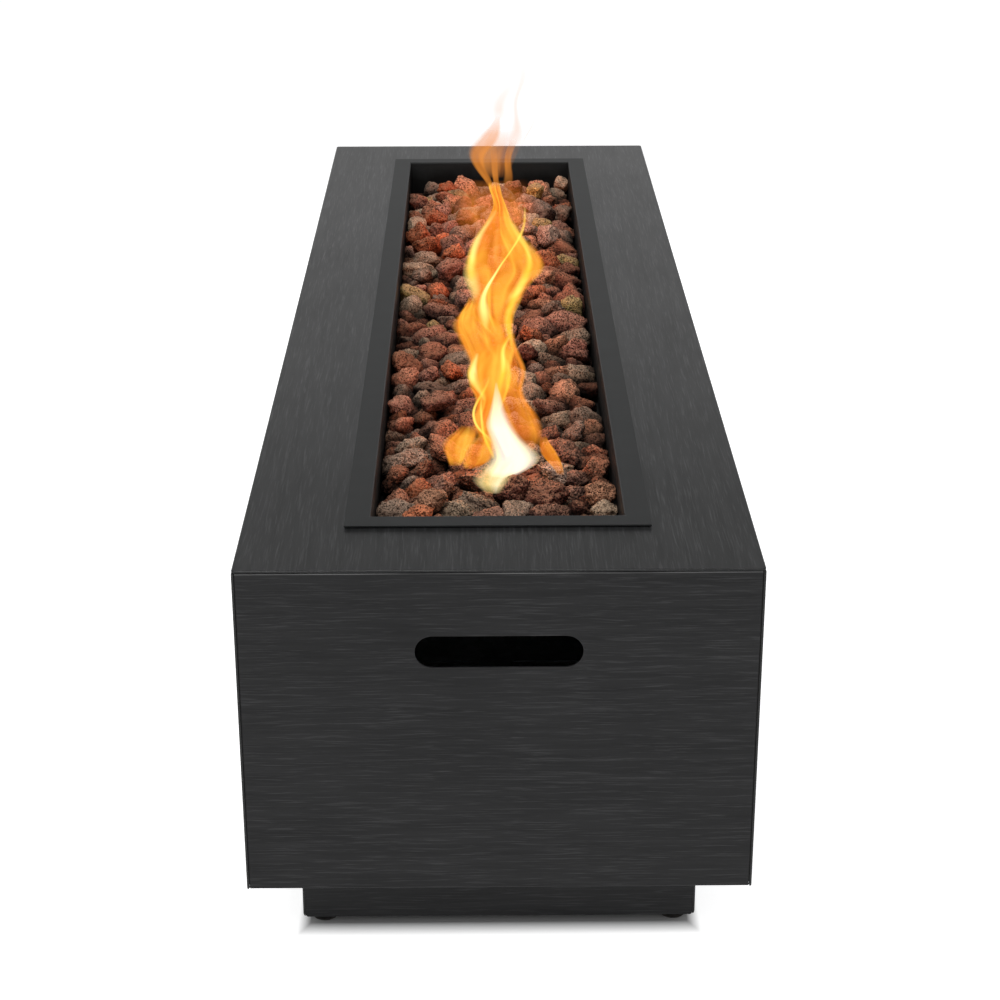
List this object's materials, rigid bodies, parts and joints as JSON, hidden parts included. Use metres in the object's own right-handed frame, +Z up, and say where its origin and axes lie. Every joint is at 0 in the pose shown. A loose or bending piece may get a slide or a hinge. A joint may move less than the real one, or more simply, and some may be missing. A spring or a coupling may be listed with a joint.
{
  "type": "gas fire pit table",
  "caption": "Long low gas fire pit table: folded steel casing on a recessed plinth, flanged burner pan with lava stones, and a side niche with a valve knob and an igniter button.",
  "frame": {"origin": "on the floor under the middle of the table, at the underside of the foot pads", "axes": "+X across the table towards the long side with the control niche, +Y along it towards the end with the gas inlet, +Z up"},
  "size_m": [0.5, 1.7, 0.4227],
  "materials": {
    "charcoal_steel": "powder coat, lightly brushed satin",
    "pan_steel": "smooth satin heat-proof enamel",
    "frame_steel": "matt black primer",
    "galvanised_steel": "galvanised",
    "stainless_steel": "satin, heat-tinted",
    "zinc_plated_steel": "bright zinc",
    "spring_steel": "drawn wire",
    "brass": "machined",
    "foot_rubber": "matt",
    "hose_rubber": "matt",
    "copper_lead": "drawn copper tube",
    "gasket_fibre": "woven glass fibre",
    "white_ceramic": "glazed",
    "black_plastic": "moulded, matt",
    "battery_can": "printed can",
    "rust_lava": "rough, porous",
    "grey_lava": "rough, porous"
  },
  "bodies": {
    "casing": {"base_panel": "galvanised_steel", "base_screws": "zinc_plated_steel", "bottom_rail_left": "frame_steel", "bottom_rail_right": "frame_steel", "burner_end_plugs": "stainless_steel", "burner_hose": "hose_rubber", "burner_pan": "pan_steel", "burner_saddles": "stainless_steel", "burner_tube": "stainless_steel", "control_plate": "charcoal_steel", "control_recess": "charcoal_steel", "control_screws": "zinc_plated_steel", "corner_posts": "frame_steel", "deck_stiffeners": "frame_steel", "electrode_wire": "stainless_steel", "end_panel_far": "charcoal_steel", "end_panel_near": "charcoal_steel", "end_rails": "frame_steel", "foot_weld_nuts": "zinc_plated_steel", "gas_inlet": "brass", "gas_locknuts": "zinc_plated_steel", "gas_mixer": "brass", "gas_orifice": "brass", "heat_shield": "galvanised_steel", "igniter_battery": "battery_can", "igniter_electrode": "white_ceramic", "igniter_housing": "black_plastic", "igniter_lead": "hose_rubber", "igniter_nut": "stainless_steel", "igniter_spring": "spring_steel", "lava_rock_grey": "grey_lava", "lava_rock_rust": "rust_lava", "pan_gasket": "gasket_fibre", "plinth_end_far": "charcoal_steel", "plinth_end_near": "charcoal_steel", "plinth_side_left": "charcoal_steel", "plinth_side_right": "charcoal_steel", "sensor_bracket": "stainless_steel", "side_panel_left": "charcoal_steel", "side_panel_right": "charcoal_steel", "supply_hose": "hose_rubber", "thermocouple_lead": "copper_lead", "thermocouple_probe": "stainless_steel", "top_panel": "charcoal_steel", "top_rail_left": "frame_steel", "top_rail_right": "frame_steel", "valve_body": "brass", "valve_spring": "spring_steel"},
    "pad_near_left": {"foot_pad_near_left": "foot_rubber"},
    "stem_near_left": {"foot_stem_near_left": "zinc_plated_steel"},
    "pad_near_right": {"foot_pad_near_right": "foot_rubber"},
    "stem_near_right": {"foot_stem_near_right": "zinc_plated_steel"},
    "pad_far_left": {"foot_pad_far_left": "foot_rubber"},
    "stem_far_left": {"foot_stem_far_left": "zinc_plated_steel"},
    "pad_far_right": {"foot_pad_far_right": "foot_rubber"},
    "stem_far_right": {"foot_stem_far_right": "zinc_plated_steel"},
    "knob_carrier": {"thrust_washer": "zinc_plated_steel"},
    "knob": {"control_knob": "black_plastic", "valve_stem": "stainless_steel"},
    "button": {"igniter_button": "black_plastic"}
  },
  "joints": [
    {"name": "knob_push", "type": "slide", "parent": "casing", "child": "knob_carrier", "axis": [-1, 0, 0], "range_m": [0, 0.004], "stiffness_N_per_m": 1500, "springref_m": -0.004, "deforming": ["valve_spring"]},
    {"name": "knob_turn", "type": "hinge", "parent": "knob_carrier", "child": "knob", "pos_m": [0.2, 0.595, 0.235], "axis": [1, 0, 0], "range_deg": [0, 180]},
    {"name": "igniter_push", "type": "slide", "parent": "casing", "child": "button", "axis": [-1, 0, 0], "range_m": [0, 0.0035], "stiffness_N_per_m": 1200, "springref_m": -0.004, "deforming": ["igniter_spring"]},
    {"name": "pad_drop_near_left", "type": "slide", "parent": "casing", "child": "pad_near_left", "axis": [0, 0, -1], "range_m": [0, 0.012]},
    {"name": "stem_turn_near_left", "type": "hinge", "parent": "pad_near_left", "child": "stem_near_left", "pos_m": [-0.179, -0.779, 0.01], "axis": [0, 0, -1], "range_deg": [0, 3456]},
    {"name": "pad_drop_near_right", "type": "slide", "parent": "casing", "child": "pad_near_right", "axis": [0, 0, -1], "range_m": [0, 0.012]},
    {"name": "stem_turn_near_right", "type": "hinge", "parent": "pad_near_right", "child": "stem_near_right", "pos_m": [0.179, -0.779, 0.01], "axis": [0, 0, -1], "range_deg": [0, 3456]},
    {"name": "pad_drop_far_left", "type": "slide", "parent": "casing", "child": "pad_far_left", "axis": [0, 0, -1], "range_m": [0, 0.012]},
    {"name": "stem_turn_far_left", "type": "hinge", "parent": "pad_far_left", "child": "stem_far_left", "pos_m": [-0.179, 0.779, 0.01], "axis": [0, 0, -1], "range_deg": [0, 3456]},
    {"name": "pad_drop_far_right", "type": "slide", "parent": "casing", "child": "pad_far_right", "axis": [0, 0, -1], "range_m": [0, 0.012]},
    {"name": "stem_turn_far_right", "type": "hinge", "parent": "pad_far_right", "child": "stem_far_right", "pos_m": [0.179, 0.779, 0.01], "axis": [0, 0, -1], "range_deg": [0, 3456]}
  ],
  "couplings": [
    {"joint": "pad_drop_near_left", "follows": "stem_turn_near_left", "m_per_rad": 0.00019894},
    {"joint": "pad_drop_near_right", "follows": "stem_turn_near_right", "m_per_rad": 0.00019894},
    {"joint": "pad_drop_far_left", "follows": "stem_turn_far_left", "m_per_rad": 0.00019894},
    {"joint": "pad_drop_far_right", "follows": "stem_turn_far_right", "m_per_rad": 0.00019894}
  ]
}
